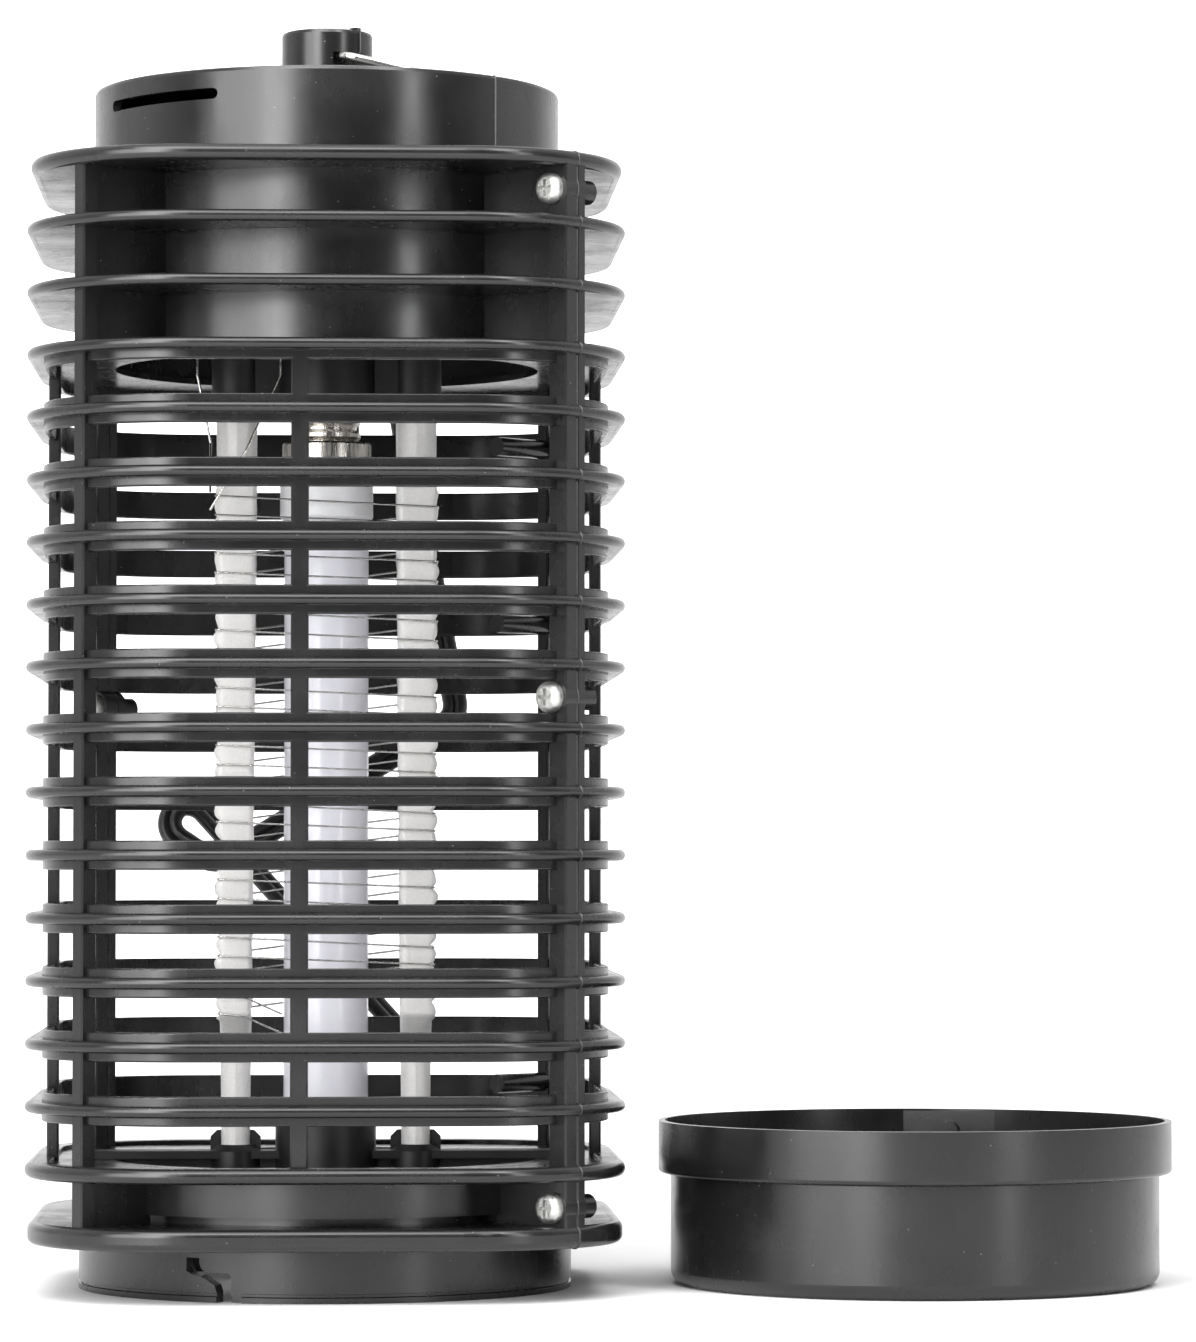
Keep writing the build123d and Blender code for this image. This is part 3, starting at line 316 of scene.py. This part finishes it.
def swept(points, section):
    """Rings of a section, given as (side, up) offsets, carried along a path."""
    return [[point + side * across + up * rise for across, rise in section]
            for point, (side, up) in zip(points, carried_frames(points))]


def round_section(radius, sides):
    """Points of a circle, as (side, up) offsets."""
    return [(radius * math.cos(2 * math.pi * step / sides), radius * math.sin(2 * math.pi * step / sides))
            for step in range(sides)]


def rounded_path(corners, radius):
    """A path through corners, each corner eased by a short curve that takes less than half of a side."""
    path = [corners[0]]
    for before, corner, after in zip(corners, corners[1:], corners[2:]):
        reach_in = min(radius, (before - corner).length * CURVE_SHARE)
        reach_out = min(radius, (after - corner).length * CURVE_SHARE)
        start = corner + (before - corner).normalized() * reach_in
        end = corner + (after - corner).normalized() * reach_out
        for step in range(CURVE_STEPS + 1):
            share = step / CURVE_STEPS
            path.append(start.lerp(corner, share).lerp(corner.lerp(end, share), share))
    path.append(corners[-1])
    return path


# ---------------------------------------------------------------- grid

# Height of one turn of a wire, and how much lower its front run ends on the right post than on the left
TURN_PITCH = 7.8 * MM
FRONT_DROP = 1.95 * MM

# A post is narrower at its foot than at its top
POST_TAPER = 2.9 / 4.3

# Steps up a post and round each corner of its section
RING_STEP = 0.55 * MM
CORNER_STEPS = 4

# A post's section changes from round to oblong over this height, and is round from this far above the winding.
# Its corners lose this share of their radius.
EASE = 6.0 * MM
EASE_ABOVE = 8.0 * MM
CORNER_LOSS = 0.62

# Wax swells out between the wires and is cut into by them.
# Each swelling has its own size, and the lower ones are fuller.
WAX_SWELL = 1.35 * MM
WAX_CUT = 0.4 * MM
SWELL_MEAN, SWELL_SPREAD, SWELL_FULLER = 0.55, 0.45, 0.35
SWELL_POWER = 0.6

# Height of the lumps on the wax, and how many there are to the metre across a post and up it
LUMPS = (0.22 * MM, 260, 420)
EDGE_LUMPS = (0.35 * MM, 300, 520)
FACE_LUMPS = (0.12 * MM, 300, 300)

# Places in the noise where the lumps of the edges and the faces are read
EDGE_PLACE = 9.0 / EDGE_LUMPS[1]
FACE_PLACE = 4.0 / FACE_LUMPS[2]

# Wire, its gap to the wax, its front run's set-back, and the unevenness of hand winding
WIRE_RADIUS = 0.21 * MM
WIRE_GAP = 0.05 * MM
WIRE_SET_BACK = 0.45 * MM
WIRE_BEND = 0.9 * MM
WIRE_SIDES = 8
WANDER = 0.35 * MM

# How far above the wires' lowest points the wax and the last turn stop
WAX_STOP = 4.0 * MM
TURNS_STOP = 4.5 * MM
LAST_TURN = 0.9 * TURN_PITCH

# The loose tail turns in over the left post, a little forward, then hangs down beside it
TAIL_FORWARD = 0.2 * MM
TAIL_IN, TAIL_DIP = 2.0 * MM, 0.6 * MM
TAIL_OUT, TAIL_LIFT = 9.5 * MM, 0.3 * MM


def post_shape(node):
    """Centre, half width at the foot and top, depth, and the heights of a grid post."""
    low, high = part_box(node)
    top_half = (high.x - low.x) / 2
    return {"x": (low.x + high.x) / 2, "top": top_half, "foot": top_half * POST_TAPER,
            "depth": (high.y - low.y) / 2, "z": (low.z, high.z)}


def post_half_width(shape, height):
    """Half of a post's width at a height."""
    share = (height - shape["z"][0]) / (shape["z"][1] - shape["z"][0])
    return shape["foot"] + (shape["top"] - shape["foot"]) * share


def wound_span():
    """Highest and lowest wound heights, from the boxes of the two grid wires."""
    live_low, live_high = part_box("grid_wire_live")
    return_low, return_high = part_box("grid_wire_return")
    return max(live_high.z, return_high.z), min(live_low.z, return_low.z) + WAX_STOP


def wax_bulge(height, outward, wound_top, wound_bottom):
    """How far the outer edge of a post stands out between its wires. It is fuller low down."""
    phase = (wound_top - height - (FRONT_DROP if outward > 0 else 0)) / (TURN_PITCH / 2)
    size = SWELL_MEAN + SWELL_SPREAD * noise.noise(Vector((outward * 3.0, 7.0, math.floor(phase) * 0.77)))
    size += SWELL_FULLER * max(0.0, 1.0 - (height - wound_bottom) / (wound_top - wound_bottom))
    return abs(math.sin(math.pi * phase)) ** SWELL_POWER * size * WAX_SWELL - WAX_CUT


def lump(kind, x, y, z):
    """Height of a kind of lump at a place."""
    height, across, up = kind
    return height * noise.noise(Vector((x * across, y * across, z * up)))


def post_ring(shape, outward, z, wound_top, wound_bottom):
    """One level outline of a post: round on its bare ends, oblong and lumpy along the winding."""
    half = post_half_width(shape, z)
    ease_in = min(max((z - wound_bottom + EASE) / EASE, 0), 1)
    ease_out = min(max((wound_top + EASE_ABOVE - z) / EASE, 0), 1)
    wound = min(ease_in, ease_out)
    depth = half + (shape["depth"] - half) * wound
    corner = min(half, depth) * (1.0 - CORNER_LOSS * wound)
    waxed = 1.0 if wound_bottom - MM < z < wound_top + MM else 0.0
    bulge = wax_bulge(z, outward, wound_top, wound_bottom)
    ring = []
    for quarter, (sx, sy) in enumerate(((1, 1), (-1, 1), (-1, -1), (1, -1))):
        for turn in range(CORNER_STEPS + 1):
            angle = math.radians(90 * quarter + 90 * turn / CORNER_STEPS)
            x = sx * (half - corner) + corner * math.cos(angle)
            y = sy * (depth - corner) + corner * math.sin(angle)
            sideways = lump(LUMPS, x, y, z)
            if x * outward > 0:
                edge = bulge + lump(EDGE_LUMPS, outward * EDGE_PLACE, y, z)
                x += outward * edge * waxed * min(1.0, abs(x) / half) ** 2
            x += sideways * waxed
            y += lump(FACE_LUMPS, z, x, FACE_PLACE) * waxed
            ring.append(Vector((shape["x"] + x, y, z)))
    return ring


def grid_post(node, outward):
    """Waxy insulating post. Its outer edge swells between the wires that bite into it."""
    shape = post_shape(node)
    wound_top, wound_bottom = wound_span()
    low, high = shape["z"]
    count = int((high - low) / RING_STEP)
    heights = [low + (high - low) * index / count for index in range(count + 1)]
    rings = [post_ring(shape, outward, z, wound_top, wound_bottom) for z in heights]
    vertices = [vertex for ring in rings for vertex in ring]
    add_piece("wax_" + node, vertices, skin(rings), "post_plastic", replaced=(node,), crease=50)


def grid_wire(node, seed):
    """One wound wire, with the small unevenness of hand winding and a loose tail."""
    random.seed(seed)
    low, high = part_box(node)
    left, right = post_shape("grid_post_left"), post_shape("grid_post_right")
    clearance = WIRE_RADIUS + WIRE_GAP
    front, back = low.y + WIRE_RADIUS + WIRE_SET_BACK, high.y - WIRE_RADIUS
    height = high.z - WIRE_RADIUS
    corners = []
    while height > low.z + TURNS_STOP + LAST_TURN:
        wander = random.uniform(-WANDER, WANDER)
        for post, side, face, drop in ((left, -1, front, 0), (right, 1, front, FRONT_DROP),
                                       (right, 1, back, FRONT_DROP), (left, -1, back, TURN_PITCH)):
            level = height - drop + (wander if drop == FRONT_DROP else 0.0)
            edge = side * (post_half_width(post, level) + clearance)
            corners.append(Vector((post["x"] + edge, face, level)))
        height -= TURN_PITCH
    edge = left["x"] - post_half_width(left, height) - clearance
    corners.append(Vector((edge, front, height)))
    corners.append(Vector((left["x"] + TAIL_IN, front - TAIL_FORWARD, height - TAIL_DIP)))
    corners.append(Vector((left["x"] + TAIL_OUT, front - TAIL_FORWARD, low.z + TAIL_LIFT)))
    rings = swept(rounded_path(corners, WIRE_BEND), round_section(WIRE_RADIUS, WIRE_SIDES))
    vertices = [vertex for ring in rings for vertex in ring]
    add_piece("wound_" + node, vertices, skin(rings), "grid_wire", replaced=(node,), crease=80)


# ---------------------------------------------------------------- mould marks

# The cage is split on a vertical diagonal. Its edges within this reach of that plane are the seam.
SEAM_REACH = 0.1 * MM
SEAM_ACROSS = Vector((1, 1, 0)).normalized()
SEAM_ALONG = Vector((1, -1, 0)).normalized()

# Flash, its least and its varying share of these sizes, and how many changes there are to the metre
FLASH_HALF_WIDTH = 0.15 * MM
FLASH_HEIGHT = 0.2 * MM
FLASH_LEAST, FLASH_VARYING, FLASH_CHANGES = 0.75, 0.9, 400.0

# Points of the copied mesh closer than this are one point
WELD = 0.001 * MM

# A face that leans on the seam's plane by more than this is part of the cut, not of the outside
CUT_LEAN = 0.9

# Depth of the cap's top and foot under the knob's top
CAP_TOP_DROP = 13.2 * MM
CAP_FOOT_DROP = 30.0 * MM

# Flash shows only beyond these distances from the axis: on the knob, on the cap, on the louvres
KNOB_FLASH_FROM = 8.6 * MM
CAP_FLASH_FROM = 47.0 * MM
LOUVRE_FLASH_FROM = 64.0 * MM


def flash_limit(height, cap_foot, cap_top):
    """Distance from the axis beyond which the seam shows, at a height."""
    if height > cap_top:
        return KNOB_FLASH_FROM
    if height > cap_foot:
        return CAP_FLASH_FROM
    return LOUVRE_FLASH_FROM


def seam_face(edge):
    """The outer face beside an edge of the seam, or None if the edge isn't on the seam."""
    on_plane = all(abs(vertex.co.dot(SEAM_ACROSS)) <= SEAM_REACH for vertex in edge.verts)
    if len(edge.link_faces) != 2 or not on_plane:
        return None
    outer = [face for face in edge.link_faces if abs(face.normal.dot(SEAM_ACROSS)) < CUT_LEAN]
    return outer[0] if len(outer) == 1 else None


def seam_flash():
    """Thin uneven line of flash where the two halves of the cage meet, on the outside only."""
    node = frame["nodes"]["cage_front_half"]
    knob_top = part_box("cage_front_half")[1].z
    cap_top, cap_foot = knob_top - CAP_TOP_DROP, knob_top - CAP_FOOT_DROP
    half = bmesh.new()
    half.from_mesh(node.data)
    half.transform(node.matrix_world)
    bmesh.ops.remove_doubles(half, verts=half.verts, dist=WELD)
    vertices, faces = [], []
    for edge in half.edges:
        outer = seam_face(edge)
        if outer is None:
            continue
        ends = [vertex.co for vertex in edge.verts]
        limit = flash_limit((ends[0].z + ends[1].z) / 2, cap_foot, cap_top)
        if any(abs(end.dot(SEAM_ALONG)) < limit for end in ends):
            continue
        start = len(vertices)
        for end in ends:
            centre = end - SEAM_ACROSS * end.dot(SEAM_ACROSS)
            swell = FLASH_LEAST + FLASH_VARYING * abs(noise.noise(end * FLASH_CHANGES))
            aside = SEAM_ACROSS * FLASH_HALF_WIDTH * swell
            vertices += [centre + aside, centre + outer.normal * FLASH_HEIGHT * swell, centre - aside]
        faces += skin([vertices[start:start + 3], vertices[start + 3:]], start)
    half.free()
    scraped = black_plastic("seam", tone=0.014, roughness=(0.3, 0.4), dusty=0.6)
    add_piece("seam_flash", vertices, faces, "housing", look=scraped)


# ---------------------------------------------------------------- stage, light and camera

# (direction's Y, strength) where the dark front of the surround ends and where its bright back starts
WORLD_FRONT = (-0.45, 0.03)
WORLD_BACK = (0.12, 1.15)

FLOOR_TONES = ((0.74, 0.74, 0.74), (0.78, 0.78, 0.78))

# The backdrop glows from nothing to full over this range of Y, so that it stays white behind the object
GLOW_FROM, GLOW_TO, GLOW = 0.1, 0.6, 0.2

# Far from the object the floor is seen white, from nothing to full over this range of distance
WHITE_FROM, WHITE_TO, WHITE = 0.45, 1.3, 0.9

# Half width, front edge, place of the wall, its height and the bend at its foot
FLOOR_HALF, FLOOR_FRONT, WALL, WALL_HEIGHT, BEND = 2.2, -1.6, 1.1, 2.0, 0.5
BEND_STEPS = 16

# The soft boxes aim at this point
LIT_POINT = Vector((0.05, 0.0, 0.12))

# name, azimuth, elevation, distance, (width, height), watts
SOFT_BOXES = (
    ("key", -38, 10, 1.5, (1.15, 1.6), 40),
    ("key_core", -27, 14, 1.45, (0.3, 1.4), 6),
    ("strip", 40, 12, 1.5, (0.2, 1.4), 8),
    ("high_key", -24, 50, 1.5, (0.9, 0.6), 12),
    ("high_strip", 34, 50, 1.5, (0.25, 0.6), 5),
    ("top", 0, 64, 1.6, (1.8, 1.3), 22),
)

# Sensor width and focal length in millimetres, angles in degrees
CAMERA_PLACE = (0.0004, -1.17, 0.088)
CAMERA_YAW, CAMERA_PITCH = 2.712, 1.847
CAMERA_SENSOR, CAMERA_LENS = 36.0, 152.8
NEAREST_SEEN, FARTHEST_SEEN = 0.05, 20.0


def soft_light(name, azimuth, elevation, distance, size, strength):
    """A rectangular soft box. Azimuth is in degrees from the front, positive to the right."""
    data = bpy.data.lights.new(name, "AREA")
    data.shape = "RECTANGLE"
    data.size, data.size_y = size
    data.energy = strength
    lamp = bpy.data.objects.new(name, data)
    lamp.visible_camera = False
    bpy.context.scene.collection.objects.link(lamp)
    around, up = math.radians(azimuth), math.radians(elevation)
    direction = Vector((math.sin(around) * math.cos(up), -math.cos(around) * math.cos(up), math.sin(up)))
    lamp.location = LIT_POINT + direction * distance
    lamp.rotation_euler = direction.to_track_quat("Z", "Y").to_euler()


def see_from_front_only(s):
    """Lets the camera look through the back of a surface. Light still meets it from both sides."""
    behind = s.math("MULTIPLY", s.node("ShaderNodeLightPath").outputs["Is Camera Ray"],
                    s.node("ShaderNodeNewGeometry").outputs["Backfacing"])
    either = s.node("ShaderNodeMixShader")
    s.link(behind, either.inputs["Fac"])
    s.link(s.surface.outputs["BSDF"], either.inputs[1])
    s.link(s.node("ShaderNodeBsdfTransparent").outputs["BSDF"], either.inputs[2])
    s.link(either.outputs["Shader"], s.tree.nodes["Material Output"].inputs["Surface"])


def floor_material():
    """Matt white that glows behind the object and is seen white far from it."""
    s = Shader("floor")
    s.put("Base Color", s.mix(s.noise(30.0), *FLOOR_TONES))
    s.put("Roughness", 0.8)
    s.put("Specular IOR Level", 0.1)
    spread = s.node("ShaderNodeSeparateXYZ")
    s.link(s.coordinates, spread.inputs["Vector"])
    s.put("Emission Color", (1, 1, 1, 1))
    glow = s.remap(spread.outputs["Y"], GLOW_FROM, GLOW_TO, 0.0, GLOW)
    distance = s.node("ShaderNodeVectorMath", operation="LENGTH")
    s.link(s.coordinates, distance.inputs[0])
    far = s.remap(distance.outputs["Value"], WHITE_FROM, WHITE_TO, 0.0, WHITE)
    seen = s.node("ShaderNodeLightPath").outputs["Is Camera Ray"]
    s.put("Emission Strength", s.math("ADD", glow, s.math("MULTIPLY", far, seen)))
    see_from_front_only(s)
    return s.material


def sweep_backdrop():
    """White floor that curves up into a white wall behind the object. The wall can't be seen from behind."""
    profile = [(FLOOR_FRONT, 0.0)]
    for step in range(BEND_STEPS + 1):
        angle = math.radians(-90 + 90 * step / BEND_STEPS)
        profile.append((WALL - BEND + BEND * math.cos(angle), BEND + BEND * math.sin(angle)))
    profile.append((WALL, WALL_HEIGHT))
    mesh = bpy.data.meshes.new("floor")
    vertices = [(x, y, z) for y, z in profile for x in (-FLOOR_HALF, FLOOR_HALF)]
    faces = [(2 * i, 2 * i + 1, 2 * i + 3, 2 * i + 2) for i in range(len(profile) - 1)]
    mesh.from_pydata(vertices, [], faces)
    for polygon in mesh.polygons:
        polygon.use_smooth = True
    mesh.materials.append(floor_material())
    floor = bpy.data.objects.new("floor", mesh)
    bpy.context.scene.collection.objects.link(floor)


def light_studio():
    """A surround that is bright behind the object, dark in front and white to the camera, and soft boxes."""
    world = bpy.context.scene.world or bpy.data.worlds.new("studio")
    bpy.context.scene.world = world
    world.use_nodes = True
    tree = world.node_tree
    background = tree.nodes["Background"]
    background.inputs["Color"].default_value = (1, 1, 1, 1)
    direction = tree.nodes.new("ShaderNodeTexCoord").outputs["Generated"]
    parts = tree.nodes.new("ShaderNodeSeparateXYZ")
    tree.links.new(direction, parts.inputs["Vector"])
    fade = tree.nodes.new("ShaderNodeMapRange")
    for name, number in (("From Min", WORLD_FRONT[0]), ("From Max", WORLD_BACK[0]),
                         ("To Min", WORLD_FRONT[1]), ("To Max", WORLD_BACK[1])):
        fade.inputs[name].default_value = number
    tree.links.new(parts.outputs["Y"], fade.inputs["Value"])
    seen = tree.nodes.new("ShaderNodeMix")
    tree.links.new(tree.nodes.new("ShaderNodeLightPath").outputs["Is Camera Ray"], seen.inputs["Factor"])
    tree.links.new(fade.outputs["Result"], seen.inputs["A"])
    seen.inputs["B"].default_value = 1.0
    tree.links.new(seen.outputs["Result"], background.inputs["Strength"])
    for box in SOFT_BOXES:
        soft_light(*box)


def place_camera():
    """Long lens near the height of the cage's lower third, aimed a little to the right and up."""
    data = bpy.data.cameras.new("camera")
    data.sensor_width = CAMERA_SENSOR
    data.lens = CAMERA_LENS
    data.clip_start, data.clip_end = NEAREST_SEEN, FARTHEST_SEEN
    camera = bpy.data.objects.new("camera", data)
    camera.location = CAMERA_PLACE
    camera.rotation_euler = (math.radians(90 + CAMERA_PITCH), 0, math.radians(-CAMERA_YAW))
    bpy.context.scene.collection.objects.link(camera)
    bpy.context.scene.camera = camera


dress_frame()
grid_post("grid_post_left", -1)
grid_post("grid_post_right", 1)
grid_wire("grid_wire_live", 1)
grid_wire("grid_wire_return", 2)
seam_flash()
sweep_backdrop()
light_studio()
place_camera()
bpy.context.scene.view_settings.view_transform = "Standard"
